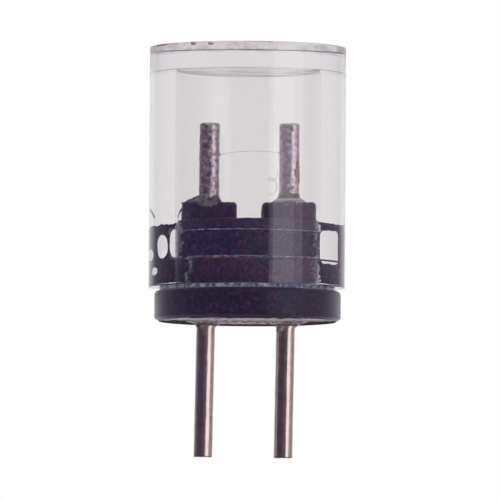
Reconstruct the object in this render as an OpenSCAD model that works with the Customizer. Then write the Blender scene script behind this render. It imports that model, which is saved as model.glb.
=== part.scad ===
// Radial micro fuse: a clear moulded cap cemented over a black moulded base that
// carries two round leads, with a fine fusible wire between their tips.
// Millimetres. The origin is on the seating plane under the flange, midway
// between the leads. +Z is up, towards the cap, and the leads stand apart on X.

/* [Leads] */
// Distance between the two leads, centre to centre
lead_pitch = 2.54; // [2.1:0.01:3.1]
// Diameter of each round lead below the base, where it plugs in
lead_d = 0.6; // [0.4:0.01:0.75]
// How much thicker each lead is through the base and inside the cap
lead_swell = 0.05; // [0.01:0.01:0.08]
// Length of each lead below the seating plane
lead_below = 4.3; // [2:0.1:12]
// Length of each lead above the flange, up to its tip inside the cap
lead_above = 5.3; // [4.4:0.05:6.4]
// Radius along the edge of each lead's upper tip
lead_tip_r = 0.08; // [0.02:0.01:0.15]
// Distance from the end of the resin around each lead down to the thinner stretch
lead_step_gap = 0.02; // [0.01:0.01:0.1]
// Chamfer on each lead's cropped lower end
lead_crop = 0.03; // [0.01:0.01:0.1]
// Clearance at the radius between a lead and its hole in the base
lead_fit = 0.01; // [0.005:0.005:0.03]

/* [Cap] */
// Outer diameter of the clear cap
cap_d = 6.2; // [5.1:0.05:8]
// Height of the cap, from its rim to its flat top
cap_h = 7.62; // [6.35:0.01:10]
// Thickness of the cap's side wall
cap_wall = 0.8; // [0.5:0.01:1]
// Thickness of the cap's end wall
cap_top = 0.78; // [0.4:0.01:1.2]
// Radius along the cap's upper edge
cap_edge_r = 0.1; // [0.05:0.01:0.3]
// How much wider the bore's mouth is than the bore, at the radius
mouth_step = 0.02; // [0.01:0.005:0.05]
// Height of the wider mouth, from the cap's rim
mouth_h = 0.82; // [0.4:0.02:1.4]
// Lead-in chamfer at the rim of the mouth
mouth_chamfer = 0.08; // [0.02:0.01:0.2]

/* [Base] */
// How far the flange stands in from the cap's outside, at the radius
flange_inset = 0.15; // [0.05:0.01:0.3]
// Thickness of the flange
flange_h = 0.95; // [0.6:0.05:2]
// Radius along the flange's upper edge
flange_edge_r = 0.13; // [0.03:0.01:0.25]
// Width of the bevel along the flange's lower edge
flange_bevel_w = 0.15; // [0.05:0.01:0.3]
// Height of the bevel along the flange's lower edge
flange_bevel_h = 0.1; // [0.05:0.01:0.3]
// Gap at the radius between the plug and the cap's bore, filled by the cement
plug_gap = 0.08; // [0.03:0.005:0.15]
// Height of the plug above the flange
plug_h = 2.18; // [1.3:0.02:2.7]
// Bevel along the plug's upper edge
plug_bevel = 0.05; // [0.02:0.01:0.1]
// Diameter of the round boss around each lead
boss_d = 1.76; // [1.3:0.02:2.1]
// Height of each boss above the plug
boss_h = 0.6; // [0.2:0.02:0.9]
// Radius along each boss's upper edge
boss_edge_r = 0.1; // [0.03:0.01:0.2]

/* [Cement] */
// Thickness of the cement between the flange and the cap's rim
rim_gap = 0.1; // [0.04:0.01:0.2]
// How far that cement stands in from the rounding of the flange's upper edge
squeeze_inset = 0.02; // [0.01:0.01:0.1]
// How far the cement's upper edge lies below the plug's top
cement_below_top = 0.06; // [0.05:0.01:0.3]
// Lowest height above the cap's rim of the strip of cement across the front
strip_bottom = 0.86; // [0.8:0.01:1]
// Highest height above the cap's rim of the strip of cement across the front
strip_top = 1.74; // [1.3:0.01:1.75]
// Half angle of the bare window above and below that strip
bare_angle = 56; // [30:1:80]

/* [Seals] */
// Diameter of the seal where it spreads on a boss
seal_d = 1.08; // [0.8:0.02:1.3]
// Height that the seal climbs up a lead
seal_h = 0.3; // [0.1:0.02:0.5]
// Width of the resin patch under the flange, across the leads
patch_w = 1.3; // [0.9:0.05:2]
// Depth of the pocket that the patch fills
patch_depth = 0.12; // [0.05:0.01:0.3]
// Drop of the resin down each lead below the seating plane
patch_drop = 0.16; // [0.05:0.01:0.3]
// Diameter of the resin around each lead at the seating plane
cone_d = 0.82; // [0.8:0.02:1.2]
// Thickness of the seals' and resin's thin edges against a lead
seal_lip = 0.01; // [0.005:0.005:0.02]

/* [Fuse wire] */
// Diameter of the fusible wire
wire_d = 0.01; // [0.01:0.002:0.05]
// Distance from the leads' tips down to the wire's right end
wire_below_tip = 0.92; // [0.6:0.02:1.3]
// How much lower the wire's left end is than its right end
wire_slope = 0.07; // [0:0.01:0.2]
// Rise of the wire's arch above the line between its ends
wire_arch = 0.08; // [0.02:0.01:0.3]
// Diameter of the joint that holds each end of the wire to its lead
joint_d = 0.1; // [0.08:0.01:0.2]
// How far each joint stands off its lead
joint_h = 0.03; // [0.03:0.01:0.1]

/* [Hidden] */
$fn = 96;

cap_r = cap_d / 2;
bore_r = cap_r - cap_wall;
mouth_r = bore_r + mouth_step;
flange_r = cap_r - flange_inset;
plug_r = bore_r - plug_gap;
lead_r = lead_d / 2;
post_r = lead_r + lead_swell / 2;
post_bottom = -(patch_drop + lead_step_gap);
hole_r = post_r + lead_fit;
boss_r = boss_d / 2;

rim_z = flange_h + rim_gap;
plug_top = flange_h + plug_h;
boss_top = plug_top + boss_h;
lead_tip = flange_h + lead_above;
joint_right_z = lead_tip - wire_below_tip;
joint_left_z = joint_right_z - wire_slope;
wire_end_x = lead_pitch / 2 - post_r - joint_h;

ARC_STEPS = 6;    // straight steps that make a quarter of a rounded edge
WIRE_SIDES = 8;   // flats around the wire
WIRE_STEPS = 24;  // lengths along the wire
CUT = 1;          // how far a cutting shape runs past what it cuts

// Points on a quarter or other arc, from one angle to another.
function arc(centre, r, from, to) =
    [for (i = [0 : ARC_STEPS])
        let (a = from + (to - from) * i / ARC_STEPS)
        centre + r * [cos(a), sin(a)]];

// The cap's half section, with the bore open downwards.
module cap() {
    color([0.87, 0.86, 0.88, 0.35])
    translate([0, 0, rim_z])
    rotate_extrude()
    polygon(concat(
        [[mouth_r + mouth_chamfer, 0], [cap_r, 0]],
        arc([cap_r - cap_edge_r, cap_h - cap_edge_r], cap_edge_r, 0, 90),
        [[0, cap_h],
         [0, cap_h - cap_top],
         [bore_r, cap_h - cap_top],
         [bore_r, mouth_h],
         [mouth_r, mouth_h],
         [mouth_r, mouth_chamfer]]));
}

// Puts its children at the left lead (-1) or the right lead (1).
module at_lead(side) {
    translate([side * lead_pitch / 2, 0, 0]) children();
}

// The flange and the plug, turned about Z.
module flange_and_plug() {
    rotate_extrude()
    polygon(concat(
        [[0, 0], [flange_r - flange_bevel_w, 0], [flange_r, flange_bevel_h]],
        arc([flange_r - flange_edge_r, flange_h - flange_edge_r], flange_edge_r, 0, 90),
        [[plug_r, flange_h],
         [plug_r, plug_top - plug_bevel],
         [plug_r - plug_bevel, plug_top],
         [0, plug_top]]));
}

// A boss grows out of the plug's top, and never stands wider than the plug.
module boss(side) {
    intersection() {
        at_lead(side)
        translate([0, 0, plug_top - plug_bevel])
        rotate_extrude()
        polygon(concat(
            [[0, 0], [boss_r, 0]],
            arc([boss_r - boss_edge_r, boss_h + plug_bevel - boss_edge_r], boss_edge_r, 0, 90),
            [[0, boss_h + plug_bevel]]));
        cylinder(r = plug_r - plug_bevel, h = boss_top + CUT);
    }
}

// The outline of the resin patch: a bar between the leads with round ends.
module patch_outline(grow = 0) {
    square([lead_pitch, patch_w + 2 * grow], center = true);
    for (side = [-1, 1])
        translate([side * lead_pitch / 2, 0]) circle(d = patch_w + 2 * grow);
}

module base() {
    color([0.16, 0.13, 0.2])
    difference() {
        union() {
            flange_and_plug();
            boss(-1);
            boss(1);
        }
        for (side = [-1, 1])
            at_lead(side) translate([0, 0, -CUT]) cylinder(r = hole_r, h = boss_top + 2 * CUT);
        translate([0, 0, -CUT]) linear_extrude(patch_depth + CUT) patch_outline();
    }
}

// A sector of a tall ring about Z, used to cut bare windows into the cement.
module sector(middle, half_angle, low, high) {
    rotate([0, 0, middle - half_angle])
    translate([0, 0, low])
    rotate_extrude(angle = 2 * half_angle)
    translate([plug_r - CUT, 0])
    square([plug_gap + mouth_step + 2 * CUT, high - low]);
}

// A round void in the cement, at an angle from the front and a height above the cap's rim.
module void_at(angle, height, d) {
    translate([0, 0, rim_z + height])
    rotate([90, 0, angle])
    cylinder(d = d, h = cap_r);
}

// Voids in the cement: angle about Z from the front, height above the cap's rim, diameter.
// Left of the front is negative.
VOIDS = [[-74, 1.25, 0.72], [-101, 1.02, 0.42], [-88, 0.5, 0.22],
         [72, 1.23, 1.04], [134, 0.62, 0.36], [158, 1.4, 0.5], [-146, 0.75, 0.28]];
FRONT = -90;  // angle of the front, where the cement is thinnest

// Cement under the cap's rim and up the gap between the plug and the bore.
module cap_cement() {
    squeeze_r = flange_r - flange_edge_r - squeeze_inset;
    cement_top = plug_top - cement_below_top;
    color([0.13, 0.1, 0.16])
    difference() {
        rotate_extrude()
        polygon([[plug_r, flange_h],
                 [squeeze_r, flange_h],
                 [squeeze_r, rim_z],
                 [mouth_r + mouth_chamfer, rim_z],
                 [mouth_r, rim_z + mouth_chamfer],
                 [mouth_r, rim_z + mouth_h],
                 [bore_r, rim_z + mouth_h],
                 [bore_r, cement_top],
                 [plug_r, cement_top]]);
        sector(FRONT, bare_angle, rim_z + strip_top, plug_top + CUT);
        sector(FRONT, bare_angle, rim_z + mouth_chamfer, rim_z + strip_bottom);
        for (v = VOIDS) void_at(v[0], v[1], v[2]);
    }
}

// A straight round lead: thinner below, cropped at its lower end and rounded at its upper tip.
module lead(side) {
    color([0.62, 0.56, 0.57])
    at_lead(side)
    rotate_extrude()
    polygon(concat(
        [[0, -lead_below],
         [lead_r - lead_crop, -lead_below],
         [lead_r, lead_crop - lead_below],
         [lead_r, post_bottom],
         [post_r, post_bottom]],
        arc([post_r - lead_tip_r, lead_tip - lead_tip_r], lead_tip_r, 0, 90),
        [[0, lead_tip]]));
}

// The seal around a lead where it leaves its boss: a hollow-sided collar.
module lead_seal(side) {
    foot = seal_d / 2 - post_r;
    color([0.42, 0.37, 0.43])
    at_lead(side)
    translate([0, 0, boss_top])
    rotate_extrude()
    polygon(concat(
        [[post_r, 0]],
        [for (i = [0 : ARC_STEPS])
            let (a = 90 * i / ARC_STEPS)
            [post_r + foot * (1 - sin(a)) + seal_lip * sin(a), seal_h * (1 - cos(a))]],
        [[post_r, seal_h]]));
}

// Resin in the pocket under the flange, with a small cone down each lead.
module underside_resin() {
    color([0.55, 0.49, 0.47])
    difference() {
        union() {
            linear_extrude(patch_depth) patch_outline();
            for (side = [-1, 1])
                at_lead(side)
                translate([0, 0, -patch_drop])
                cylinder(r1 = post_r + seal_lip, r2 = cone_d / 2, h = patch_drop);
        }
        for (side = [-1, 1])
            at_lead(side)
            translate([0, 0, -CUT])
            cylinder(r = post_r, h = patch_depth + 2 * CUT);
    }
}

// Height of the wire's middle line at a share of its length, 0 at the left end.
function wire_z(s) =
    joint_left_z + wire_slope * s + 4 * wire_arch * s * (1 - s);

// The fusible wire: a fine tube of flat-sided rings along its arch.
module fuse_wire() {
    points = [for (i = [0 : WIRE_STEPS], j = [0 : WIRE_SIDES - 1])
        let (s = i / WIRE_STEPS, a = 360 * j / WIRE_SIDES)
        [wire_end_x * (2 * s - 1),
         wire_d / 2 * cos(a),
         wire_z(s) + wire_d / 2 * sin(a)]];
    sides = [for (i = [0 : WIRE_STEPS - 1], j = [0 : WIRE_SIDES - 1])
        let (k = (j + 1) % WIRE_SIDES, at = i * WIRE_SIDES)
        [at + j, at + k, at + WIRE_SIDES + k, at + WIRE_SIDES + j]];
    first = [for (j = [WIRE_SIDES - 1 : -1 : 0]) j];
    last = [for (j = [0 : WIRE_SIDES - 1]) WIRE_STEPS * WIRE_SIDES + j];
    color([0.5, 0.45, 0.42])
    polyhedron(points, concat(sides, [first, last]), convexity = 4);
}

// The joint between a lead and the wire: a short stud, hollowed to sit on the lead.
module wire_joint(side, z) {
    color([0.5, 0.36, 0.28])
    difference() {
        translate([side * wire_end_x, 0, z])
        rotate([0, side * 90, 0])
        cylinder(d = joint_d, h = joint_h + post_r / 2);
        at_lead(side)
        translate([0, 0, z - CUT])
        cylinder(r = post_r, h = 2 * CUT);
    }
}

cap();
base();
cap_cement();
lead(-1);  // lead_left
lead(1);  // lead_right
lead_seal(-1);  // lead_seal_left
lead_seal(1);  // lead_seal_right
underside_resin();
fuse_wire();
wire_joint(-1, joint_left_z);  // wire_joint_left
wire_joint(1, joint_right_z);  // wire_joint_right
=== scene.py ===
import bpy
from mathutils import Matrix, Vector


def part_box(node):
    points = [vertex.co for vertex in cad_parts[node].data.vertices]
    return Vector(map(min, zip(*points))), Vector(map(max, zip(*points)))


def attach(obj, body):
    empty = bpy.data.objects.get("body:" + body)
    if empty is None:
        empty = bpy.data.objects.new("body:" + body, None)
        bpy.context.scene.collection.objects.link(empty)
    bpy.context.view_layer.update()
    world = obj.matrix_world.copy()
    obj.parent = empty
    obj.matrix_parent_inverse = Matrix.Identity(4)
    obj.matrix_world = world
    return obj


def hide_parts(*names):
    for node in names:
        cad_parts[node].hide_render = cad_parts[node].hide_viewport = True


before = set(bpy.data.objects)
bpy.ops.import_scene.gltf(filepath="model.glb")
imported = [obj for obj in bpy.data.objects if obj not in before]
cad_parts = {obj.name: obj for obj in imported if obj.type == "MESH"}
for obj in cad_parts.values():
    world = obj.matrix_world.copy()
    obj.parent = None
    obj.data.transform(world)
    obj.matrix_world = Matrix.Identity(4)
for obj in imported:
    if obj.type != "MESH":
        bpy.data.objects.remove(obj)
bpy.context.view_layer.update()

import math

import bmesh
import bpy
from mathutils import Matrix, Vector, noise

# Lengths below are in millimetres in the object's own frame, and angles about Z are in
# degrees from the front (-Y), positive to the right (+X). MM turns a length into metres.
MM = 0.001


# ---------------------------------------------------------------- sizes from the frame

def box_mm(node):
    """Lowest and highest corners of a CAD node, in millimetres."""
    lo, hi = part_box(node)
    return lo / MM, hi / MM


def middle_z(node):
    """Height of the middle of a CAD node, in millimetres."""
    lo, hi = box_mm(node)
    return (lo.z + hi.z) / 2


CAP_LO, CAP_HI = box_mm("cap")
BASE_LO, BASE_HI = box_mm("base")
CEMENT_LO, CEMENT_HI = box_mm("cap_cement")
SEAL_LO, SEAL_HI = box_mm("lead_seal_right")
WIRE_LO, WIRE_HI = box_mm("fuse_wire")
RESIN_LO, RESIN_HI = box_mm("underside_resin")
LEAD_LO, LEAD_HI = box_mm("lead_right")

CAP_R = CAP_HI.x
RIM_Z = CAP_LO.z
TOP_Z = CAP_HI.z
FLANGE_R = BASE_HI.x
BOSS_TOP = BASE_HI.z
FLANGE_TOP = CEMENT_LO.z
SQUEEZE_R = CEMENT_HI.x
LEAD_X = (LEAD_LO.x + LEAD_HI.x) / 2
POST_R = (LEAD_HI.x - LEAD_LO.x) / 2
TIP_Z = LEAD_HI.z
CROP_Z = LEAD_LO.z
BOND_Z = {-1: middle_z("wire_joint_left"), 1: middle_z("wire_joint_right")}
POCKET_Z = RESIN_HI.z

# Sizes inside the CAD nodes' boxes.
BORE_R = 2.3
MOUTH_R = 2.32
CEILING_Z = TOP_Z - 0.78
STEP_Z = RIM_Z + 0.82
CHAMFER = 0.08
PLUG_R = 2.22
PLUG_TOP = RIM_Z + 2.08
PLUG_BEVEL = 0.05
BOSS_R = 0.88
BEVEL_W = 0.15
BEVEL_H = 0.1
LEAD_R = 0.3
THIN_TOP = -0.2
WIRE_ARCH = 0.08
RING_UP = 0.106

# Haze on the wall around the cap's solid end: the azimuth that lies between its two patches, and
# how far from there each one starts and ends, in radians.
HAZE_MIDDLE = math.radians(5)
HAZE_FROM = math.radians(68)
HAZE_TO = math.radians(104)
HAZE_FADE = 0.07

# Where the handwork left things a little out of true. The flange hangs lower and stands to the
# right, and the cap's outer wall is a little wider and stands to the left.
DROP = 0.014
FLANGE_SHIFT = 0.016
CAP_GROWTH = 1.002
CAP_SHIFT = -0.014

# For each side, left -1 and right 1: how far the boss stands right of its lead, how many degrees
# the lead leans to the right below and above the base, how far right it stands there, and how
# much longer it is.
BOSS_SHIFT = {-1: 0.035, 1: 0.05}
LEAN_BELOW = {-1: 0.95, 1: 0.8}
LEAN_ABOVE = {-1: 0.4, 1: -0.1}
SHIFT_BELOW = {-1: -0.028, 1: -0.045}
SHIFT_ABOVE = {-1: 0.034, 1: 0.037}
EXTRA_LENGTH = {-1: 0.01, 1: 0.03}


# ---------------------------------------------------------------- shapes

def rounded(corners, steps=5):
    """A polyline through corners (x, y, radius), each one rounded with an arc of its radius."""
    points = []
    last = len(corners) - 1
    for i, (x, y, radius) in enumerate(corners):
        here = Vector((x, y))
        if radius == 0 or i in (0, last):
            points.append((x, y))
            continue
        to_prev = (Vector(corners[i - 1][:2]) - here).normalized()
        to_next = (Vector(corners[i + 1][:2]) - here).normalized()
        half = to_prev.angle(to_next) / 2
        middle = here + (to_prev + to_next).normalized() * (radius / math.sin(half))
        start = here + to_prev * (radius / math.tan(half)) - middle
        end = here + to_next * (radius / math.tan(half)) - middle
        sweep = start.angle_signed(end)
        for k in range(steps + 1):
            a = -sweep * k / steps
            points.append((middle.x + start.x * math.cos(a) - start.y * math.sin(a),
                           middle.y + start.x * math.sin(a) + start.y * math.cos(a)))
    return points


def subdivided(points, longest):
    """The same polyline with no stretch longer than longest."""
    out = [points[0]]
    for (x0, y0), (x1, y1) in zip(points, points[1:]):
        n = max(1, math.ceil(math.hypot(x1 - x0, y1 - y0) / longest))
        out += [(x0 + (x1 - x0) * k / n, y0 + (y1 - y0) * k / n) for k in range(1, n + 1)]
    return out


def mesh_object(name, points, faces, sharp=40, kinds=None):
    """An object from points in mm, smooth but for edges sharper than sharp degrees.

    kinds gives each face the number of its material."""
    mesh = bpy.data.meshes.new(name)
    mesh.from_pydata([Vector(p) * MM for p in points], [], faces)
    if kinds:
        mesh.polygons.foreach_set("material_index", kinds)
    mesh.update()
    bm = bmesh.new()
    bm.from_mesh(mesh)
    bmesh.ops.remove_doubles(bm, verts=bm.verts, dist=1e-5 * MM)
    bmesh.ops.recalc_face_normals(bm, faces=bm.faces)
    bm.to_mesh(mesh)
    bm.free()
    mesh.shade_smooth()
    mesh.set_sharp_from_angle(angle=math.radians(sharp))
    obj = bpy.data.objects.new(name, mesh)
    bpy.context.scene.collection.objects.link(obj)
    return obj


def lathe(name, profile, segments, x=0.0, shape=None, sharp=40):
    """Turns a profile of (radius, height) about a line at x. shape may move each point (x, y, z)."""
    points, faces, rings = [], [], []
    for r, z in profile:
        if r < 1e-6:
            rings.append([len(points)] * segments)
            points.append((0.0, 0.0, z))
        else:
            rings.append([len(points) + k for k in range(segments)])
            for k in range(segments):
                a = math.tau * k / segments
                points.append((r * math.sin(a), -r * math.cos(a), z))
    for low, high in zip(rings, rings[1:]):
        for k in range(segments):
            n = (k + 1) % segments
            corner = [low[k], low[n], high[n], high[k]]
            face = list(dict.fromkeys(corner))
            if len(face) > 2:
                faces.append(face)
    if shape:
        points = [shape(*p) for p in points]
    points = [(px + x, py, pz) for px, py, pz in points]
    return mesh_object(name, points, faces, sharp)


def wave(x, y, z, size, seed=0.0):
    """Smooth noise, mostly from -1 to 1, with features of about that size."""
    return 2.5 * noise.noise(Vector((x / size + seed, y / size - seed, z / size + 2.3 * seed)))


def around(angle, radius):
    """The point at an angle about Z from the front, at that radius."""
    a = math.radians(angle)
    return radius * math.sin(a), -radius * math.cos(a)


def soft_min(a, b, blend):
    """The smaller of two distances, with the corner between them rounded over about blend."""
    k = max(blend - abs(a - b), 0.0) / blend
    return min(a, b) - k * k * blend / 4


def soft_max(a, b, blend):
    """The larger of two distances, blended in the same way."""
    return -soft_min(-a, -b, blend)


def clipped(polygon, level, above):
    """The part of a polygon of points (u, v, f) where f is above, or below, a level."""
    out = []
    for p, q in zip(polygon, polygon[1:] + polygon[:1]):
        a, b = p[2] - level, q[2] - level
        if a == 0 or (a > 0) == above:
            out.append(p)
        if a * b < 0:
            first, last = min(p, q), max(p, q)
            t = (level - first[2]) / (last[2] - first[2])
            out.append((first[0] + (last[0] - first[0]) * t, first[1] + (last[1] - first[1]) * t, level))
    return out


def film(name, field, place, u_span, v_span, u_cells, v_cells, edge):
    """A thin closed solid with a free outline: it fills u, v where field(u, v), in mm, is over 0.

    place(u, v, f, side) gives its points, on the outer side (1) or the inner side (0).
    Faces where field is under edge get the second material, and the walls too."""
    us = [u_span[0] + (u_span[1] - u_span[0]) * i / u_cells for i in range(u_cells + 1)]
    vs = [v_span[0] + (v_span[1] - v_span[0]) * j / v_cells for j in range(v_cells + 1)]
    grid = [[(u, v, field(u, v)) for v in vs] for u in us]
    points, faces, kinds = [], [], []

    def add(corners, kind):
        faces.append(range(len(points), len(points) + len(corners)))
        points.extend(corners)
        kinds.append(kind)

    for i in range(u_cells):
        for j in range(v_cells):
            square = [grid[i][j], grid[i + 1][j], grid[i + 1][j + 1], grid[i][j + 1]]
            if max(p[2] for p in square) <= 0:
                continue
            if min(p[2] for p in square) > edge:
                add([place(*p, 1) for p in square], 0)
                add([place(*p, 0) for p in reversed(square)], 0)
                continue
            for triangle in (square[:3], [square[0], square[2], square[3]]):
                whole = clipped(triangle, 0.0, True)
                if len(whole) < 3:
                    continue
                add([place(*p, 0) for p in reversed(whole)], 0)
                for low, high in ((0.0, edge * 0.3), (edge * 0.3, edge), (edge, None)):
                    part = clipped(whole, low, True)
                    if high is not None:
                        part = clipped(part, high, False)
                    if len(part) > 2:
                        add([place(*p, 1) for p in part], 0 if high is None else 1)
                for p, q in zip(whole, whole[1:] + whole[:1]):
                    if p[2] == 0 and q[2] == 0:
                        add([place(*p, 1), place(*p, 0), place(*q, 0), place(*q, 1)], 1)
    return mesh_object(name, points, faces, 50, kinds)


def cut(obj, tool, operation):
    """Applies an exact boolean with tool, and removes tool."""
    mod = obj.modifiers.new("cut", "BOOLEAN")
    mod.operation = operation
    mod.solver = "EXACT"
    mod.object = tool
    bpy.context.view_layer.update()
    graph = bpy.context.evaluated_depsgraph_get()
    result = bpy.data.meshes.new_from_object(obj.evaluated_get(graph))
    obj.modifiers.clear()
    obj.data = result
    bpy.data.objects.remove(tool)


def finish_piece(obj, node, slot, *materials):
    """Gives a piece its materials, and has it stand for a CAD node on the one body."""
    for m in materials:
        obj.data.materials.append(m)
    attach(obj, "root")
    if node:
        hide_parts(node)


# ---------------------------------------------------------------- materials

def new_material(name):
    """A node material with one Principled shader; returns it, its node tree and its shader."""
    mat = bpy.data.materials.new(name)
    mat.use_nodes = True
    return mat, mat.node_tree, mat.node_tree.nodes["Principled BSDF"]


def feed(socket, value):
    """Gives a socket a number or a colour, or links an output to it."""
    if isinstance(value, bpy.types.NodeSocket):
        socket.id_data.links.new(value, socket)
    else:
        socket.default_value = (*value, 1) if isinstance(value, tuple) else value


def set_inputs(node, values):
    """Feeds a node's sockets by name."""
    for name, value in values.items():
        feed(node.inputs[name], value)


def maths(kind, a, b=0.0):
    """A sum, product or other function of the output a and a second value."""
    node = a.id_data.nodes.new("ShaderNodeMath")
    node.operation = kind
    feed(node.inputs[0], a)
    feed(node.inputs[1], b)
    return node.outputs[0]


def mix(tree, share, a, b, kind="MIX"):
    """Two colours mixed in that share, or blended in another way."""
    node = tree.nodes.new("ShaderNodeMix")
    node.data_type = "RGBA"
    node.blend_type = kind
    for socket, value in zip([i for i in node.inputs if i.enabled], (share, a, b)):
        feed(socket, value)
    return next(o for o in node.outputs if o.enabled)


def coordinates(tree, space):
    """X, Y and Z in a space of the texture coordinates, and the azimuth from -Y in radians."""
    where = tree.nodes.new("ShaderNodeTexCoord")
    axes = tree.nodes.new("ShaderNodeSeparateXYZ")
    feed(axes.inputs[0], where.outputs[space])
    x, y, z = axes.outputs
    return x, y, z, maths("ARCTAN2", x, maths("MULTIPLY", y, -1.0))


def textured(tree, size, detail=3.0, roughness=0.55, stretch=(1, 1, 1)):
    """Noise in the object's own space, with features of about size millimetres."""
    where = tree.nodes.new("ShaderNodeTexCoord")
    scaled = tree.nodes.new("ShaderNodeMapping")
    scaled.inputs["Scale"].default_value = stretch
    feed(scaled.inputs["Vector"], where.outputs["Object"])
    tex = tree.nodes.new("ShaderNodeTexNoise")
    set_inputs(tex, {"Vector": scaled.outputs["Vector"], "Scale": 1.0 / (size * MM),
                     "Detail": detail, "Roughness": roughness})
    return tex.outputs["Fac"]


def ramp(value, stops):
    """Colours along a value; stops are (place, colour)."""
    node = value.id_data.nodes.new("ShaderNodeValToRGB")
    for i in (0, -1):
        node.color_ramp.elements[i].position = stops[i][0]
        node.color_ramp.elements[i].color = (*stops[i][1], 1)
    for place, colour in stops[1:-1]:
        node.color_ramp.elements.new(place).color = (*colour, 1)
    feed(node.inputs["Fac"], value)
    return node.outputs["Color"]


def span(value, low, high, to_low, to_high, smooth=False):
    """Maps value from one range to another, clamped."""
    node = value.id_data.nodes.new("ShaderNodeMapRange")
    node.interpolation_type = "SMOOTHSTEP" if smooth else "LINEAR"
    set_inputs(node, {"Value": value, "From Min": low, "From Max": high,
                      "To Min": to_low, "To Max": to_high})
    return node.outputs["Result"]


def bump(shader, height, depth):
    """Bump from a height of 0 to 1 that stands for depth millimetres."""
    node = shader.id_data.nodes.new("ShaderNodeBump")
    set_inputs(node, {"Distance": depth * MM, "Strength": 1.0, "Height": height})
    feed(shader.inputs["Normal"], node.outputs["Normal"])


def clear_plastic():
    """The cap's plastic: duller on the top and the ceiling, hazy and smudged around its solid end.

    It is one material all over, so that light which enters at one face and leaves by another
    is absorbed only in between."""
    mat, tree, shader = new_material("clear_plastic")
    x, y, height, azimuth = coordinates(tree, "Object")
    flat = tree.nodes.new("ShaderNodeCombineXYZ")
    set_inputs(flat, {"X": x, "Y": y})
    length = tree.nodes.new("ShaderNodeVectorMath")
    length.operation = "LENGTH"
    feed(length.inputs[0], flat.outputs[0])
    radius = length.outputs["Value"]
    cloud = textured(tree, 0.5, 5.0)

    # Each mask is 1 on its own stretch of the surface and 0 elsewhere.
    top = span(height, (TOP_Z - 0.012) * MM, (TOP_Z - 0.006) * MM, 0.0, 1.0)
    off_ceiling = maths("ABSOLUTE", maths("SUBTRACT", height, CEILING_Z * MM))
    ceiling = maths("MULTIPLY", span(off_ceiling, 0.008 * MM, 0.012 * MM, 1.0, 0.0),
                    span(radius, (BORE_R - 0.07) * MM, (BORE_R - 0.05) * MM, 1.0, 0.0))
    wall = span(radius, (CAP_R - 0.1) * MM, (CAP_R - 0.08) * MM, 0.0, 1.0)

    wander = span(cloud, 0.3, 0.7, -0.16, 0.16)
    aside = maths("ADD", maths("SUBTRACT", azimuth, HAZE_MIDDLE), wander)
    aside = maths("ABSOLUTE", aside)
    solid_end = span(height, (CEILING_Z - 0.1) * MM, (CEILING_Z + 0.1) * MM, 0.0, 1.0)
    haze = maths("MULTIPLY", span(aside, HAZE_FROM - HAZE_FADE, HAZE_FROM + HAZE_FADE, 0.0, 1.0),
                 span(aside, HAZE_TO - HAZE_FADE, HAZE_TO + HAZE_FADE, 1.0, 0.0))
    haze = maths("MULTIPLY", haze, maths("MULTIPLY", wall, solid_end))

    blotches = textured(tree, 0.55, 4.0, 0.6, (1, 1, 2.2))
    upper_band = span(height, (TOP_Z - 0.38) * MM, (TOP_Z - 0.3) * MM, 0.0, 1.0)
    front = span(y, -0.3 * MM, 0.5 * MM, 1.0, 0.0)
    smudge = maths("MULTIPLY", maths("MULTIPLY", upper_band, wall), span(blotches, 0.42, 0.56, 0.0, 1.0))
    smudge = maths("MULTIPLY", smudge, front)

    dull = maths("ADD", maths("ADD", top, maths("MULTIPLY", ceiling, 0.5)),
                 maths("ADD", maths("MULTIPLY", haze, 1.5), smudge))
    soiled = maths("MAXIMUM", maths("MULTIPLY", haze, 0.25), smudge)
    set_inputs(shader, {
        "Base Color": ramp(soiled, [(0.0, (0.925, 0.913, 0.916)), (1.0, (0.6, 0.5, 0.62))]),
        "Roughness": maths("MULTIPLY", dull, span(cloud, 0.35, 0.65, 0.04, 0.11)),
        "Transmission Weight": 1.0, "IOR": 1.585})

    inside = tree.nodes.new("ShaderNodeVolumeAbsorption")
    set_inputs(inside, {"Color": (0.726, 0.687, 0.706), "Density": 100.0})
    feed(tree.nodes["Material Output"].inputs["Volume"], inside.outputs["Volume"])
    return mat


def mottled(tree, shader, blue, mid, purple):
    """Black with blotches from bluish to purple, broken up by a fine grain; returns the grain."""
    cloud = textured(tree, 0.25, 2.0, 0.6)
    grain = textured(tree, 0.11, 4.0, 0.7)
    tint = ramp(cloud, [(0.4, blue), (0.5, mid), (0.6, purple)])
    shade = ramp(grain, [(place, (grey,) * 3) for place, grey in ((0.32, 0.45), (0.5, 0.9), (0.68, 1.9))])
    feed(shader.inputs["Base Color"], mix(tree, 1.0, tint, shade, "MULTIPLY"))
    return grain


def black_plastic(name, tints, roughness, ior, sheen=0.0):
    """The base's black moulded plastic."""
    mat, tree, shader = new_material(name)
    grain = mottled(tree, shader, *tints)
    set_inputs(shader, {"Roughness": span(grain, 0.3, 0.7, roughness, roughness + 0.16), "IOR": ior,
                        "Sheen Weight": sheen, "Sheen Roughness": 0.4, "Sheen Tint": (1.0, 0.86, 1.0)})
    bump(shader, grain, 0.008)
    return mat


# Tints of the black pieces, from bluish to purple.
OUTER_TINTS = (0.017, 0.014, 0.048), (0.026, 0.0125, 0.048), (0.039, 0.013, 0.053)
# Faces of the base under the cap get a lighter copy of the same black plastic: painted light.
INSIDE_LIGHTER_TINTS = (0.064, 0.05, 0.156), (0.09, 0.041, 0.152), (0.12, 0.041, 0.162)
STRIP_TINTS = (0.05, 0.054, 0.136), (0.07, 0.047, 0.13), (0.095, 0.047, 0.14)
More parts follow.
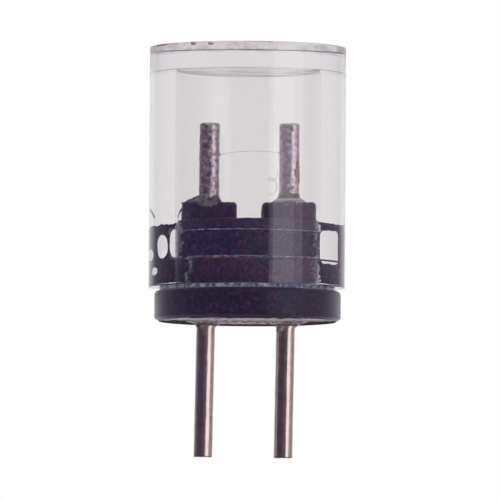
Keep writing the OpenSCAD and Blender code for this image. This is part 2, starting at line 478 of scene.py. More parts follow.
# The cement's right side gets lighter tints than its left: painted light from the softbox on the right,
# and painted shade on the left.
LEFT_SHADED_TINTS = (0.056, 0.046, 0.108), (0.074, 0.044, 0.104), (0.094, 0.044, 0.114)
RIGHT_LIT_TINTS = (0.105, 0.084, 0.182), (0.126, 0.078, 0.176), (0.155, 0.078, 0.188)
UNDERSIDE_TINTS = (0.03, 0.03, 0.05), (0.05, 0.034, 0.048), (0.075, 0.04, 0.055)


def smooth_black(name, tints, roughness, ior, sheen=0.0):
    """A black surface with no relief, of one roughness all over."""
    mat, tree, shader = new_material(name)
    mottled(tree, shader, *tints)
    set_inputs(shader, {"Roughness": roughness, "IOR": ior, "Sheen Weight": sheen, "Sheen Roughness": 0.4})
    return mat


def wetted_cement(name, tints):
    """Cement seen through the cap where it wets the bore, with no air between them."""
    return smooth_black(name, tints, 0.4, 1.06, 0.6)


def strip_cement():
    """Cement across the front, which has shrunk a hair's breadth from the bore and mirrors there."""
    return smooth_black("cement_strip", STRIP_TINTS, 0.08, 1.64, 0.35)


def dark_underside():
    """The base's underside: matt, so that it keeps dark when seen edge on."""
    return smooth_black("matt_underside", UNDERSIDE_TINTS, 0.9, 1.15)


def cement_with_painted_glints(name, dark, mid, light):
    """Cement at the edges of its film and in the gap under the rim, where it meets the air; its pale
    patches are painted glints.
    """
    mat, tree, shader = new_material(name)
    grain = textured(tree, 0.12, 4.0)
    set_inputs(shader, {"Base Color": ramp(grain, [(0.36, dark), (0.52, mid), (0.68, light)]),
                        "Roughness": 0.22, "IOR": 1.5})
    bump(shader, grain, 0.01)
    return mat


def drawn_metal():
    """The leads below the base: drawn wire with faint lengthwise lines."""
    mat, tree, shader = new_material("drawn_lead")
    drawn = textured(tree, 0.12, 4.0, 0.6, (1, 1, 0.12))
    cloud = textured(tree, 0.35, 4.0, 0.6)
    set_inputs(shader, {"Base Color": ramp(cloud, [(0.3, (0.7, 0.61, 0.54)), (0.65, (0.86, 0.8, 0.73))]),
                        "Metallic": 1.0, "Roughness": span(cloud, 0.3, 0.7, 0.14, 0.26)})
    bump(shader, drawn, 0.006)
    return mat


def tinned_metal(name, dark, mid, depth):
    """A lead inside the cap: tin with bluish and violet patches, and grains that deep in mm."""
    mat, tree, shader = new_material(name)
    grain = textured(tree, 0.05, 5.0, 0.7)
    cloud = textured(tree, 0.16, 4.0, 0.6)
    set_inputs(shader, {"Base Color": ramp(cloud, [(0.37, dark), (0.5, mid), (0.62, (1.0, 0.94, 0.88))]),
                        "Metallic": 1.0, "Roughness": span(grain, 0.35, 0.65, 0.12, 0.26)})
    bump(shader, grain, depth)
    return mat


def dull_resin(name, dark, light, roughness, size=0.12):
    """Resin that isn't clear, another grainy deposit, or a grainy patch of painted light, between two
    colours.
    """
    mat, tree, shader = new_material(name)
    grain = textured(tree, size, 5.0, 0.65)
    set_inputs(shader, {"Base Color": ramp(grain, [(0.38, dark), (0.62, light)]), "Roughness": roughness})
    bump(shader, grain, 0.02)
    return mat


def glassy_resin(name, tint, rough=0.08):
    """Mostly clear resin of one tint."""
    mat, tree, shader = new_material(name)
    grain = textured(tree, 0.12, 3.0)
    set_inputs(shader, {"Base Color": tint, "Transmission Weight": 0.85, "IOR": 1.5,
                        "Roughness": span(grain, 0.3, 0.7, rough, rough * 2)})
    bump(shader, grain, 0.015)
    return mat


def fine_grained(name, dark, light, metallic, roughness):
    """The wire, its solder, small deposits on the leads and a painted highlight on the left tip, as
    metallic as stated.
    """
    mat, tree, shader = new_material(name)
    grain = textured(tree, 0.05, 4.0)
    set_inputs(shader, {"Base Color": ramp(grain, [(0.35, dark), (0.65, light)]),
                        "Metallic": metallic, "Roughness": roughness})
    bump(shader, grain, 0.01)
    return mat


# ---------------------------------------------------------------- pieces

def make_cap():
    """The clear cap, with its bore, its wider mouth, and a top and ceiling that wave a little."""
    profile = rounded([
        (0, TOP_Z, 0),
        (CAP_R, TOP_Z, 0.02),
        (CAP_R, RIM_Z, 0.03),
        (MOUTH_R + CHAMFER, RIM_Z, 0.02),
        (MOUTH_R, RIM_Z + CHAMFER, 0.02),
        (MOUTH_R, STEP_Z - 0.03, 0.03),
        (BORE_R, STEP_Z + 0.03, 0.03),
        (BORE_R, CEILING_Z, 0.015),
        (0, CEILING_Z, 0)], 6)

    def uneven(x, y, z):
        r = math.hypot(x, y)
        if r > CAP_R - 0.06:
            return x * CAP_GROWTH + CAP_SHIFT, y * CAP_GROWTH, z
        if z > TOP_Z - 0.01:
            return x, y, z + 0.0012 * wave(x, y, 0, 0.6, 5.0) - 0.001
        if r < BORE_R - 0.04 and z < CEILING_Z + 0.02:
            fade = min(1.0, (BORE_R - r) / 0.3)
            return x, y, z + fade * 0.003 * wave(x, y, 0, 0.9, 1.0)
        return x, y, z

    obj = lathe("cap_clear", subdivided(profile, 0.13), 256, shape=uneven, sharp=60)
    finish_piece(obj, "cap", "clear_plastic", clear_plastic())


def make_base():
    """The black moulding: flange, plug and two bosses, with the pocket cut into its underside."""
    flange = rounded([
        (0, BASE_LO.z - DROP, 0),
        (FLANGE_R - BEVEL_W, BASE_LO.z - DROP, 0.03),
        (FLANGE_R, BASE_LO.z - DROP + BEVEL_H, 0.04),
        (FLANGE_R, FLANGE_TOP, 0.13),
        (PLUG_R, FLANGE_TOP, 0.03),
        (PLUG_R, PLUG_TOP, PLUG_BEVEL),
        (0, PLUG_TOP, 0)])

    def uneven(x, y, z):
        if z > RIM_Z + 0.1:
            return x, y, z + 0.018 * wave(x, y, 0, 0.35, 4.0) * min(1.0, (z - RIM_Z) / 2)
        swell = 1 + 0.001 * wave(x, y, z, 1.2, 2.0)
        return x * swell + (FLANGE_SHIFT if z < FLANGE_TOP + 0.01 else 0), y * swell, z

    obj = lathe("base_moulding", subdivided(flange, 0.16), 192, shape=uneven)
    for side in (-1, 1):
        boss = rounded([
            (0, PLUG_TOP - 0.5, 0),
            (BOSS_R + 0.01, PLUG_TOP - 0.5, 0),
            (BOSS_R + 0.01, BOSS_TOP, 0.1),
            (0, BOSS_TOP, 0)])

        def lumpy(x, y, z):
            swell = 1 + 0.012 * wave(x, y, z, 0.3, 3.0 + side)
            return x * swell + BOSS_SHIFT[side], y * swell, z + 0.012 * wave(x, y, 0, 0.25, 7.0 + side)

        cut(obj, lathe("boss", subdivided(boss, 0.08), 96, side * LEAD_X, shape=lumpy), "UNION")
    cut(obj, pocket_tool(), "DIFFERENCE")
    obj.data.shade_smooth()
    obj.data.set_sharp_from_angle(angle=math.radians(40))
    inside, underside, painted_reflection_band = 1, 2, 3
    for face in obj.data.polygons:
        middle = face.center / MM
        # A ragged band across the front of the underside takes a pale grainy material: a painted
        # reflection, not wear.
        depth = middle.y + 0.25 * wave(middle.x, middle.y, 0, 0.3, 3.0)
        # Faces under the cap take the lighter copy of the plastic, as painted light.
        if middle.z > RIM_Z:
            face.material_index = inside
        elif middle.z < 0.02:
            face.material_index = painted_reflection_band if -2.1 < depth < -0.6 else underside
    finish_piece(
        obj, "base", "black_plastic",
        black_plastic("black_plastic", OUTER_TINTS, 0.28, 1.38, 0.5),
        black_plastic("black_plastic_inside_painted_lighter", INSIDE_LIGHTER_TINTS, 0.42, 1.42),
        dark_underside(),
        dull_resin("underside_painted_reflection", (0.26, 0.18, 0.24), (0.92, 0.82, 0.92), 0.6, 0.16))


def stadium(x, y):
    """How far a point of the underside lies inside the outline of the resin, in mm."""
    beyond = max(abs(x) - LEAD_X, 0.0)
    return RESIN_HI.y - math.hypot(beyond, y)


def pocket_tool():
    """The pocket for the resin under the flange, as a solid to cut away."""
    outline = []
    for side in (1, -1):
        for k in range(17):
            a = math.pi * (k / 16 - 0.5)
            outline.append((side * (LEAD_X + RESIN_HI.y * math.cos(a)), side * RESIN_HI.y * math.sin(a)))
    n = len(outline)
    points = [(x, y, -1.0) for x, y in outline] + [(x, y, POCKET_Z) for x, y in outline]
    faces = [list(range(n)), list(range(n, 2 * n))]
    faces += [[k, (k + 1) % n, n + (k + 1) % n, n + k] for k in range(n)]
    return mesh_object("pocket", points, faces)


# Voids in the cement: place along the bore from the front, height above the rim, half width and
# half height. Left of the front is negative.
VOIDS = [(-2.97, 1.25, 0.27, 0.33), (-2.35, 1.325, 0.2, 0.4), (-3.9, 1.025, 0.28, 0.155),
         (-3.46, 0.495, 0.17, 0.095), (2.86, 1.245, 0.47, 0.5), (-2.6, 1.99, 0.05, 0.04),
         (-2.45, 1.985, 0.035, 0.035), (5.38, 0.62, 0.18, 0.16), (6.3, 1.4, 0.26, 0.2),
         (-5.86, 0.75, 0.14, 0.14), (4.75, 1.5, 0.09, 0.07)]

# The strip of cement across the front: its heights above the rim, the angles it spans, and the angles
# between which each patch beside it lies, whose pale colour is a painted highlight.
STRIP_LOW = 0.86
STRIP_HIGH = 1.74
STRIP_HALF_ANGLE = 58.0
GLINT_LEFT = (-64.0, -51.0)
GLINT_RIGHT = (53.0, 60.0)


def cement_field(angle, height):
    """How far inside the cement a point of the bore lies, in mm, less than 0 outside."""
    s = math.radians(angle) * BORE_R
    x, y = around(angle, BORE_R)
    coarse = wave(x, y, height, 0.3, 3.0)
    fine = wave(x, y, height, 0.09, 5.0)
    top = 2.0 + 0.012 * s + 0.025 * coarse + 0.012 * fine - height
    bottom = height - CHAMFER - 0.004 * fine
    middle = (height - STRIP_LOW) / (STRIP_HIGH - STRIP_LOW)
    upper = max(0.0, min(1.0, 0.5 + (middle - 0.5) * 4))
    left = -1.83 - 0.48 * upper - s + 0.07 * coarse + 0.04 * fine
    right = s - 2.2 - 0.1 * upper + 0.06 * coarse + 0.045 * fine
    strip = min(height - STRIP_LOW, STRIP_HIGH - height) + 0.006 * coarse + 0.004 * fine
    if abs(s) > 3.3:
        inside = min(top, bottom)
    else:
        inside = soft_min(soft_max(max(left, right), strip, 0.05), min(top, bottom), 0.05)
    for s0, h0, half_w, half_h in VOIDS:
        across = (s - s0) / half_w
        up = (height - h0) / half_h
        power = 6.0 if half_w > 0.45 else 2.3
        d = ((abs(across) ** power + abs(up) ** power) ** (1 / power) - 1) * min(half_w, half_h)
        inside = soft_min(inside, d + 0.008 * coarse * min(1.0, half_w / 0.3) + 0.003 * fine, 0.02)
    return inside


def make_cement():
    """The cement between plug and bore. It wets the bore, and draws back from it at its edges."""
    edge = 0.035
    half_height = (CEMENT_HI.z - RIM_Z) / 2 + 0.12
    middle = (CEMENT_HI.z - RIM_Z) / 2

    def place(angle, height, inside, side):
        radius = PLUG_R - 0.002
        if side:
            bore = BORE_R if height > STEP_Z - RIM_Z else MOUTH_R
            back = max(0.0, 1 - inside / edge)
            radius = bore + 0.004 - 0.03 * back * back
        x, y = around(angle, radius)
        return x, y, RIM_Z + height

    obj = film("cement_band", cement_field, place, (-180, 180),
               (middle - half_height, middle + half_height), 480, 66, edge)
    # Faces at the film's edges take cement whose pale patches are painted glints.
    at_edge, strip, right, rough = 1, 2, 3, 4
    for face in obj.data.polygons:
        if face.material_index == at_edge:
            continue
        angle = math.degrees(math.atan2(face.center.x, -face.center.y))
        ragged = angle + 2 * wave(*(face.center / MM), 0.1, 4.0)
        up = face.center.z / MM - RIM_Z
        beside_strip = any(low < ragged < high for low, high in (GLINT_LEFT, GLINT_RIGHT))
        if beside_strip and STRIP_LOW - 0.05 < up < STRIP_HIGH + 0.05:
            # Patches beside the strip take pale cement as a painted highlight on the strip's edges.
            face.material_index = rough
        elif abs(angle) < STRIP_HALF_ANGLE:
            face.material_index = strip
        # Wetted cement right of the front takes the lighter tints, as painted light.
        elif angle > 0:
            face.material_index = right
    finish_piece(
        obj, "cap_cement", "black_cement",
        wetted_cement("cement_left_shaded", LEFT_SHADED_TINTS),
        cement_with_painted_glints("cement_edge_glints", (0.16, 0.15, 0.26), (0.4, 0.4, 0.56), (0.85, 0.88, 1.0)),
        strip_cement(),
        wetted_cement("cement_right_lit", RIGHT_LIT_TINTS),
        cement_with_painted_glints("cement_beside_strip_glint", (0.1, 0.085, 0.17), (0.2, 0.18, 0.3), (0.52, 0.52, 0.66)))


def make_squeeze():
    """Cement squeezed out between the flange and the cap's rim, with a hollow, uneven free edge."""
    profile = rounded([
        (PLUG_R + 0.02, FLANGE_TOP, 0),
        (SQUEEZE_R, FLANGE_TOP, 0),
        (SQUEEZE_R - 0.05, (FLANGE_TOP + RIM_Z) / 2, 0.05),
        (SQUEEZE_R, RIM_Z, 0),
        (PLUG_R + 0.02, RIM_Z, 0),
        (PLUG_R + 0.02, FLANGE_TOP, 0)], 6)

    def uneven(x, y, z):
        r = math.hypot(x, y)
        push = 0.02 * wave(x, y, 0, 0.6, 6.0) + 0.01 * wave(x, y, z, 0.15, 2.0) - 0.03
        grow = 1 + push * max(0.0, (r - PLUG_R) / (SQUEEZE_R - PLUG_R)) / r
        return x * grow, y * grow, z

    obj = lathe("cement_squeezed_out", subdivided(profile, 0.04), 256, shape=uneven)
    # The squeezed-out cement's pale bluish patches are painted glints.
    cement = cement_with_painted_glints("cement_squeezed", (0.14, 0.13, 0.24), (0.36, 0.36, 0.52), (0.85, 0.88, 1.0))
    finish_piece(obj, "cap_cement", "black_cement", cement)


def lead_shift(side, z):
    """How far right of its place in the CAD model a lead stands inside the cap, at height z."""
    return SHIFT_ABOVE[side] + math.tan(math.radians(LEAN_ABOVE[side])) * (z - BOSS_TOP)


def make_lead(name, node, side):
    """A lead: drawn smooth below the base, lumpy with tin inside the cap, and leaning a little."""
    profile = subdivided(rounded([
        (0, CROP_Z, 0),
        (LEAD_R, CROP_Z, 0.03),
        (LEAD_R, THIN_TOP, 0),
        (POST_R, THIN_TOP, 0),
        (POST_R, TIP_Z, 0.08),
        (0, TIP_Z, 0)], 4), 0.05)
    lean_below = math.tan(math.radians(LEAN_BELOW[side]))

    def worn(x, y, z):
        if z > BOSS_TOP - 0.2:
            r = math.hypot(x, y) + 1e-9
            lumps = 0.005 * wave(x, y, z, 0.13, 2.0 + side) + 0.003 * wave(x, y, z, 0.05, 6.0 + side)
            grow = 1 + lumps * min(1.0, r / 0.2) / max(r, 0.2)
            return x * grow + lead_shift(side, z), y * grow, z + lumps + 0.01
        if z < 0:
            grow = 1 + 0.003 * wave(x, y, z * 0.3, 0.2, 9.0 + side)
            shift = SHIFT_BELOW[side] * min(1.0, -z / 0.3) + lean_below * z
            longer = EXTRA_LENGTH[side] * max(0.0, z / CROP_Z) ** 4
            return x * grow + shift, y * grow, z - longer
        return x, y, z

    obj = lathe(name, profile, 64, side * LEAD_X, shape=worn)
    for face in obj.data.polygons:
        face.material_index = 1 if face.center.z / MM > BOSS_TOP - 0.2 else 0
    finish_piece(obj, node, "lead_metal", DRAWN, TINNED[side])


def make_seal_right():
    """Resin that flares smoothly from the right lead onto its boss, with a ring on it whose near-white
    colour is a painted highlight.
    """
    foot = SEAL_HI.x - LEAD_X + 0.11
    height = SEAL_HI.z - SEAL_LO.z
    steps = 30
    profile = [(POST_R - 0.02, BOSS_TOP - 0.02), (foot, BOSS_TOP - 0.02)]
    for k in range(steps + 1):
        t = k / steps
        ridge = 0.025 * math.exp(-((t * height - RING_UP) / 0.022) ** 2)
        profile.append((POST_R + 0.008 + (foot - POST_R) * (1 - t) ** 2.3 + ridge, BOSS_TOP + height * t))
    profile.append((POST_R - 0.02, BOSS_TOP + height))
    profile.append((POST_R - 0.02, BOSS_TOP - 0.02))

    def uneven(x, y, z):
        grow = 1 + 0.02 * wave(x, y, 0, 0.4, 5.0)
        return x * grow + SHIFT_ABOVE[1], y * grow, z + 0.005 * wave(x, y, z, 0.2, 8.0)

    obj = lathe("root_seal_right", subdivided(profile, 0.03), 96, LEAD_X, shape=uneven)
    # The ring's near-white colour is a painted highlight on its ridge.
    above, ring, skirt = 0, 1, 2
    for face in obj.data.polygons:
        up = face.center.z / MM - BOSS_TOP - RING_UP
        face.material_index = ring if abs(up) < 0.02 else skirt if up < 0 else above
    finish_piece(obj, "lead_seal_right", "clear_seal",
                 dull_resin("lavender_seal", (0.1, 0.07, 0.09), (0.34, 0.27, 0.33), 0.15, 0.12),
                 dull_resin("ring_painted_highlight", (0.75, 0.6, 0.42), (1.0, 0.93, 0.88), 0.2, 0.3),
                 dull_resin("pale_skirt", (0.22, 0.19, 0.24), (0.7, 0.66, 0.72), 0.15, 0.14))


def make_seal_left():
    """A dark lump of resin around the left lead that runs out to the left over its boss."""
    height = (SEAL_HI.z - SEAL_LO.z) * 0.85
    profile = [(POST_R - 0.03, BOSS_TOP - 0.03), (1.0, BOSS_TOP - 0.03)]
    for k in range(1, 31):
        t = k / 30
        profile.append((1.0 - (1.0 - POST_R - 0.02) * t, BOSS_TOP + height * t ** 1.7))
    profile.append((POST_R - 0.03, BOSS_TOP + height))
    profile.append((POST_R - 0.03, BOSS_TOP - 0.03))

    def run_out(x, y, z):
        r = math.hypot(x, y)
        # The profile's foot stands about 0.7 out, and is squeezed to its own reach in each direction.
        toward_left = 0.5 - 0.5 * x / r
        reach = 0.17 + 0.45 * toward_left ** 3
        out = POST_R - 0.03 + (r - POST_R + 0.03) * reach / 0.685
        lumps = 0.018 * wave(x, y, z, 0.22, 4.0) + 0.006 * wave(x, y, z, 0.08, 9.0)
        up = z + lumps * min(1.0, max(0.0, z - BOSS_TOP) / 0.05)
        return x / r * (out + lumps) + SHIFT_ABOVE[-1], y / r * (out + lumps), up

    obj = lathe("root_seal_left", subdivided(profile, 0.03), 128, -LEAD_X, shape=run_out)
    for face in obj.data.polygons:
        x = face.center.x / MM + LEAD_X
        face.material_index = 1 if x < -0.36 else 0
    finish_piece(obj, "lead_seal_left", "clear_seal",
                 dull_resin("grey_seal", (0.12, 0.09, 0.12), (0.42, 0.4, 0.46), 0.2, 0.14),
                 dull_resin("dark_run", (0.02, 0.015, 0.04), (0.09, 0.06, 0.12), 0.3, 0.1))


def make_drips():
    """Seal resin that has run a little way down the fronts of the bosses, and a white patch on the left
    tip that is a painted highlight.
    """
    grey = dull_resin("grey_drip", (0.13, 0.1, 0.14), (0.44, 0.41, 0.48), 0.2, 0.12)
    top = BOSS_TOP - 0.02
    make_patch("seal_drip_left", None, "clear_seal", lambda z: -LEAD_X + BOSS_SHIFT[-1], BOSS_R,
               (-40, 40), (top - 0.3, top), [(1, top, 0.3, 0.17), (13, top, 0.15, 0.12)],
               0.02, grey)
    make_patch("seal_drip_right", None, "clear_seal", lambda z: LEAD_X + BOSS_SHIFT[1], BOSS_R,
               (-40, 40), (top - 0.3, top), [(-10, top - 0.03, 0.08, 0.08), (10, top - 0.02, 0.07, 0.06)],
               0.02, grey)
    # A white patch on the left tip stands for a highlight: painted light.
    bright = fine_grained("tip_painted_highlight", (0.98, 0.96, 0.98), (1.0, 1.0, 1.0), 0.0, 0.3)
    make_patch("tip_highlight_left", None, "lead_metal", on_left_lead, POST_R - 0.02,
               (-40, 60), (TIP_Z - 0.2, TIP_Z), [(1, TIP_Z - 0.04, 0.13, 0.055)], 0.035, bright)


def make_underside():
    """Resin in the pocket under the flange: it sags a little, and climbs down round the leads."""
    def field(x, y):
        gap = min(math.hypot(x - LEAD_X, y), math.hypot(x + LEAD_X, y)) - (POST_R - 0.02)
        return min(stadium(x, y) + 0.004, gap)

    def place(x, y, inside, side):
        if not side:
            return x, y, POCKET_Z - 0.002
        gap = min(math.hypot(x - LEAD_X, y), math.hypot(x + LEAD_X, y)) - POST_R
        sag = 0.055 * min(1.0, max(0.0, stadium(x, y)) / 0.35) ** 0.7
        climb = 0.13 * math.exp(-max(gap, 0.0) / 0.045)
        lumps = 0.014 * wave(x, y, 0, 0.22, 3.0) * min(1.0, max(0.0, stadium(x, y)) / 0.1)
        return x, y, max(-DROP - sag - climb + lumps, RESIN_LO.z)

    obj = film("underside_resin_patch", field, place, (RESIN_LO.x - 0.05, RESIN_HI.x + 0.05),
               (RESIN_LO.y - 0.05, RESIN_HI.y + 0.05), 130, 47, 0.02)
    for face in obj.data.polygons:
        x, y = abs(face.center.x / MM), face.center.y / MM
        near_lead = math.hypot(x - LEAD_X, y) < POST_R + 0.07
        face.material_index = 1 if near_lead and face.center.z < 0 else 0
    finish_piece(obj, "underside_resin", "pale_resin",
                 dull_resin("pale_resin", (0.07, 0.045, 0.06), (0.56, 0.44, 0.5), 0.3, 0.2),
                 glassy_resin("clear_meniscus", (0.8, 0.78, 0.8)))


def tube(name, path, radius, sides=8):
    """A thin round tube along a list of points, closed at both ends."""
    points, faces = [], []
    for i, here in enumerate(path):
        before, after = path[max(i - 1, 0)], path[min(i + 1, len(path) - 1)]
        along = (Vector(after) - Vector(before)).normalized()
        across = along.orthogonal() if i == 0 else across - along * across.dot(along)
        across.normalize()
        up = along.cross(across)
        r = radius(i / (len(path) - 1)) if callable(radius) else radius
        for k in range(sides):
            a = math.tau * k / sides
            points.append(tuple(Vector(here) + (across * math.cos(a) + up * math.sin(a)) * r))
    for i in range(len(path) - 1):
        for k in range(sides):
            n = (k + 1) % sides
            faces.append([i * sides + k, i * sides + n, (i + 1) * sides + n, (i + 1) * sides + k])
    faces.append(list(range(sides)))
    faces.append(list(range((len(path) - 1) * sides, len(path) * sides)))
    return mesh_object(name, points, faces)


def make_wire():
    """The fusible wire, in a shallow arch between the two bonds."""
    path = []
    for k in range(41):
        t = k / 40
        path.append((WIRE_LO.x + (WIRE_HI.x - WIRE_LO.x) * t, 0.01 * math.sin(5 * t),
                     BOND_Z[-1] + (BOND_Z[1] - BOND_Z[-1]) * t + 4 * WIRE_ARCH * t * (1 - t)))
    obj = tube("fuse_wire_fine", path, (WIRE_HI.y - WIRE_LO.y) / 2)
    finish_piece(obj, "fuse_wire", "wire_metal",
                 fine_grained("wire_metal", (0.62, 0.58, 0.57), (0.86, 0.83, 0.83), 0.4, 0.3))


def make_patch(name, node, slot, middle, post, angles, heights, blobs, thick, material):
    """A ragged patch on an upright post of that radius, whose middle stands at x = middle(z).

    blobs are (angle, height, half width, half height) in mm."""
    def field(angle, z):
        s = math.radians(angle) * post
        x, y = around(angle, post)
        best = -1.0
        for angle0, z0, half_w, half_h in blobs:
            d = 1 - math.hypot((s - math.radians(angle0) * post) / half_w, (z - z0) / half_h)
            best = max(best, d * min(half_w, half_h))
        return best + 0.012 * wave(x, y, z, 0.07, 2.0) + 0.006 * wave(x, y, z, 0.03, 5.0)

    def place(angle, z, inside, outer):
        radius = post - 0.03
        if outer:
            x, y = around(angle, post)
            full = min(1.0, max(0.0, inside) / 0.03) ** 0.5
            radius = post + 0.002 + thick * full * (1 + 0.3 * wave(x, y, z, 0.06, 1.0))
        x, y = around(angle, radius)
        return middle(z) + x, y, z

    width = math.radians(angles[1] - angles[0]) * post
    cell = 0.012
    obj = film(name, field, place, angles, heights, round(width / cell),
               round((heights[1] - heights[0]) / cell), 0.02)
    finish_piece(obj, node, slot, material, material)


def on_left_lead(z):
    """The middle of the left lead at height z, in X."""
    return lead_shift(-1, z) - LEAD_X


def on_right_lead(z):
    """The middle of the right lead at height z, in X."""
    return lead_shift(1, z) + LEAD_X


def make_bonds():
    """The browned solder that holds the wire to the leads."""
    solder = fine_grained("browned_solder", (0.45, 0.27, 0.17), (0.85, 0.7, 0.6), 0.1, 0.35)
    z = BOND_Z[-1]
    make_patch("wire_bond_left", "wire_joint_left", "joint_metal", on_left_lead, POST_R, (-20, 130),
               (z - 0.2, z + 0.2), [(6, z - 0.02, 0.04, 0.06), (31, z - 0.03, 0.04, 0.045),
                                    (88, z, 0.06, 0.045)], 0.016, solder)
    z = BOND_Z[1]
    make_patch("wire_bond_right", "wire_joint_right", "joint_metal", on_right_lead, POST_R, (-150, -40),
               (z - 0.2, z + 0.2), [(-90, z, 0.06, 0.05)], 0.016, solder)


def make_crust():
    """Brown flux crust on the right lead, and a dark stain near its tip."""
    brown = fine_grained("flux_crust", (0.4, 0.15, 0.1), (0.8, 0.52, 0.44), 0.0, 0.5)
    make_patch("flux_crust_right", None, "joint_metal", on_right_lead, POST_R, (0, 130), (4.1, 5.2),
               [(54, 4.97, 0.09, 0.17), (62, 4.85, 0.1, 0.11), (37, 4.69, 0.07, 0.14),
                (66, 4.62, 0.08, 0.13), (72, 4.48, 0.07, 0.12), (18, 4.22, 0.06, 0.05)], 0.018, brown)
    stain = fine_grained("tip_stain", (0.1, 0.08, 0.12), (0.3, 0.26, 0.34), 0.3, 0.4)
    make_patch("stain_right", None, "joint_metal", on_right_lead, POST_R, (-30, 60),
               (TIP_Z - 0.35, TIP_Z - 0.05), [(10, TIP_Z - 0.17, 0.05, 0.09)], 0.006, stain)


# The fibre: the angle and height where it starts, how far it runs round the bore, how far it
# falls, its half width, and its thickness as a share of its width.
FIBRE_ANGLE = -101.0
FIBRE_TOP = 3.54
FIBRE_RUN = 0.56
FIBRE_FALL = 0.3
FIBRE_R = 0.05
FIBRE_FLATNESS = 0.12


def make_residue():
    """A faint curl of resin beside the right lead, and a flat fibre on the bore at the left."""
    curl = []
    for k in range(97):
        t = k / 96
        a = 1.2 + 11.0 * t
        curl.append((0.78 + (0.16 - 0.07 * t) * math.sin(a), -0.3 - 0.05 * math.cos(a),
                     BOSS_TOP + 1.0 - 0.82 * t + (0.16 - 0.06 * t) * math.cos(a)))
    obj = tube("resin_curl", curl, lambda t: 0.005 + 0.007 * math.sin(math.pi * t) ** 2)
    finish_piece(obj, None, "clear_seal", glassy_resin("faint_film", (0.84, 0.82, 0.87), 0.05))
    steps = 12
    fibre = [(FIBRE_RUN * k / steps, 0.0, FIBRE_TOP - FIBRE_FALL * (k / steps) ** 1.5)
             for k in range(steps + 1)]
    obj = tube("fibre", fibre, FIBRE_R)
    for v in obj.data.vertices:
        along, out, z = v.co / MM
        angle = FIBRE_ANGLE + math.degrees(along / BORE_R)
        x, y = around(angle, BORE_R - 0.002 + FIBRE_FLATNESS * out)
        v.co = Vector((x, y, z)) * MM
    finish_piece(obj, None, "pale_resin", dull_resin("fibre", (0.1, 0.08, 0.1), (0.3, 0.28, 0.3), 0.6))


# Marks on the cap's top: place x, y and half widths x, y, in mm.
MARKS = [(-2.5, -1.1, 0.2, 0.3), (1.62, 2.4, 0.55, 0.36), (-1.55, 2.5, 0.24, 0.26), (0.04, 2.85, 0.2, 0.2),
         (-0.7, 2.7, 0.12, 0.2), (0.6, -2.1, 0.08, 0.35), (2.1, -0.4, 0.2, 0.5)]


def make_marks():
    """Marks on the cap's top face and around its edge."""
    def field(x, y):
        ragged = 0.02 * wave(x, y, 0, 0.22, 3.0) + 0.008 * wave(x, y, 0, 0.07, 6.0)
        best = max((1 - math.hypot((x - x0) / a, (y - y0) / b)) * min(a, b) for x0, y0, a, b in MARKS)
        return min(best + ragged, CAP_R - 0.05 - math.hypot(x, y))

    def place(x, y, inside, outer):
        return x, y, TOP_Z + (0.003 if outer else -0.0012)

    span_xy = (-CAP_R, CAP_R)
    obj = film("top_marks", field, place, span_xy, span_xy, 150, 150, 0.01)
    brown = dull_resin("browned_mark", (0.2, 0.12, 0.16), (0.5, 0.36, 0.42), 0.5)
    make_patch("wall_marks", None, "pale_resin", lambda z: CAP_SHIFT, CAP_R * CAP_GROWTH,
               (-72, -16), (TOP_Z - 0.16, TOP_Z),
               [(-61, TOP_Z - 0.035, 0.34, 0.025), (-34, TOP_Z - 0.07, 0.09, 0.055),
                (-22, TOP_Z - 0.08, 0.08, 0.04)], 0.004, brown)
    grey = dull_resin("lavender_mark", (0.2, 0.15, 0.2), (0.5, 0.42, 0.5), 0.5)
    finish_piece(obj, None, "pale_resin", grey, grey)


# ---------------------------------------------------------------- stage, light and camera

FLOOR_Z = -42.0
FLOOR_R = 360.0
CAMERA_DISTANCE = 400.0
CAMERA_Z = -21.2
AIM = Vector((0.085, 0.0, 2.26))
CAMERA_ROLL = 0.33
PIXELS_PER_MM = 31.6
FRAME_PIXELS = 500
SENSOR = 36.0

# What shiny surfaces see around the object: azimuth from the front in degrees, positive to the
# right, and colour. The softbox stands at about 30 to 68 degrees.
SURROUNDINGS = [
    (-180, (0.95, 0.94, 0.95)), (-149, (0.9, 0.89, 0.9)), (-137, (0.36, 0.33, 0.39)),
    (-116, (0.26, 0.23, 0.29)), (-96, (0.13, 0.108, 0.15)), (-78, (0.08, 0.062, 0.095)),
    (-50, (0.07, 0.048, 0.082)), (-20, (0.07, 0.048, 0.082)), (0, (0.115, 0.085, 0.112)),
    (26, (0.13, 0.11, 0.13)), (66, (0.13, 0.11, 0.13)), (72, (0.54, 0.46, 0.44)), (84, (0.44, 0.37, 0.36)),
    (98, (0.28, 0.25, 0.26)), (120, (0.36, 0.32, 0.34)), (137, (0.4, 0.37, 0.4)), (149, (0.9, 0.89, 0.9)),
    (180, (0.95, 0.94, 0.95))]

# Light that stays in the cap's wall, and so crosses few faces, sees a bright backdrop past these
# azimuths.
WALL_BRIGHT_FROM = (math.radians(104), math.radians(118))
WALL_BRIGHT = (0.895, 0.883, 0.893)


def make_camera():
    """A long lens a little below the object, rolled to the photograph's slight tilt."""
    data = bpy.data.cameras.new("camera")
    cam = bpy.data.objects.new("camera", data)
    bpy.context.scene.collection.objects.link(cam)
    cam.location = Vector((AIM.x, -CAMERA_DISTANCE, CAMERA_Z)) * MM
    look = AIM * MM - cam.location
    turn = look.to_track_quat("-Z", "Y").to_matrix().to_4x4()
    cam.rotation_euler = (turn @ Matrix.Rotation(math.radians(CAMERA_ROLL), 4, "Z")).to_euler()
    data.sensor_width = SENSOR
    data.lens = SENSOR * PIXELS_PER_MM * look.length / MM / FRAME_PIXELS
    data.clip_start = 0.01
    data.clip_end = 10.0
    bpy.context.scene.camera = cam


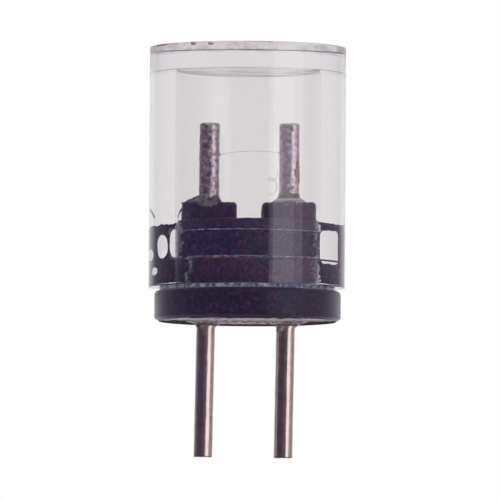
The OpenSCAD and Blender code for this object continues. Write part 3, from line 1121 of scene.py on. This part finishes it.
def make_softbox(azimuth, width, height, radiance, distance=450.0):
    """An upright softbox at the object's height, facing it."""
    data = bpy.data.lights.new("softbox", "AREA")
    data.shape = "RECTANGLE"
    data.size = width * MM
    data.size_y = height * MM
    data.energy = radiance * math.pi * width * height * MM * MM
    data.color = (1.0, 0.94, 0.98)
    obj = bpy.data.objects.new("softbox", data)
    bpy.context.scene.collection.objects.link(obj)
    x, y = around(azimuth, distance)
    obj.location = Vector((x, y, 2.0)) * MM
    obj.rotation_euler = (-obj.location).to_track_quat("-Z", "Y").to_euler()


def make_world():
    """White behind everything, soft fill on dull surfaces, and the surroundings for shiny ones."""
    world = bpy.data.worlds.new("studio")
    bpy.context.scene.world = world
    world.use_nodes = True
    world.cycles.sampling_method = "NONE"
    tree = world.node_tree
    tree.nodes.clear()

    up, azimuth = coordinates(tree, "Generated")[2:]
    turn = span(azimuth, -math.pi, math.pi, 0.0, 1.0)
    around_object = ramp(turn, [((a + 180) / 360, colour) for a, colour in SURROUNDINGS])
    path = tree.nodes.new("ShaderNodeLightPath")
    crossings = maths("SUBTRACT", path.outputs["Transmission Depth"], 2.0)
    in_wall = maths("LESS_THAN", maths("ABSOLUTE", crossings), 1.5)
    beyond = span(maths("ABSOLUTE", azimuth), *WALL_BRIGHT_FROM, 0.0, 1.0)
    sides = mix(tree, maths("MULTIPLY", in_wall, beyond), around_object, WALL_BRIGHT)
    above = span(up, 0.5, 0.9, 0.0, 0.8, smooth=True)
    below = span(up, -0.15, -0.5, 0.0, 1.0, smooth=True)
    dark_below = mix(tree, below, sides, (0.05, 0.04, 0.055))
    shiny = mix(tree, above, dark_below, (0.75, 0.74, 0.76))

    no_diffuse = maths("LESS_THAN", path.outputs["Diffuse Depth"], 0.5)
    no_gloss = maths("LESS_THAN", path.outputs["Glossy Depth"], 0.5)
    straight = maths("MULTIPLY", maths("MULTIPLY", no_diffuse, no_gloss),
                     path.outputs["Is Transmission Ray"])
    zenith = span(up, 0.6, 0.9, 0.0, 0.7, smooth=True)
    through = mix(tree, zenith, (1.0, 1.0, 1.0), (0.72, 0.7, 0.73))

    seen = mix(tree, no_diffuse, (0.65, 0.65, 0.66), shiny)
    seen = mix(tree, straight, seen, through)
    seen = mix(tree, path.outputs["Is Camera Ray"], seen, (1.0, 1.0, 1.0))

    background = tree.nodes.new("ShaderNodeBackground")
    out = tree.nodes.new("ShaderNodeOutputWorld")
    feed(background.inputs["Color"], seen)
    feed(out.inputs["Surface"], background.outputs[0])


def make_floor():
    """A pale floor, far enough below to stay out of the main view."""
    obj = lathe("floor", [(0, FLOOR_Z), (FLOOR_R, FLOOR_Z)], 96)
    mat, _, shader = new_material("pale_floor")
    set_inputs(shader, {"Base Color": (0.9, 0.9, 0.9), "Roughness": 0.9})
    obj.data.materials.append(mat)
    obj.visible_glossy = False


make_camera()
make_world()
make_floor()
make_softbox(azimuth=49.4, width=310, height=600, radiance=1.04)
bpy.context.scene.view_settings.view_transform = "Standard"

DRAWN = drawn_metal()
# The right lead's tin is a lighter copy of the left's: a painted reflection of the softbox, which the cap
# lays over that lead.
TINNED = {-1: tinned_metal("tinned_left", (0.46, 0.41, 0.56), (0.8, 0.7, 0.78), 0.011),
          1: tinned_metal("tinned_right_painted_reflection", (0.66, 0.6, 0.74), (0.88, 0.77, 0.85), 0.009)}
make_cap()
make_marks()
make_base()
make_cement()
make_squeeze()
make_lead("lead_left_drawn", "lead_left", -1)
make_lead("lead_right_drawn", "lead_right", 1)
make_seal_left()
make_seal_right()
make_drips()
make_underside()
make_wire()
make_bonds()
make_crust()
make_residue()
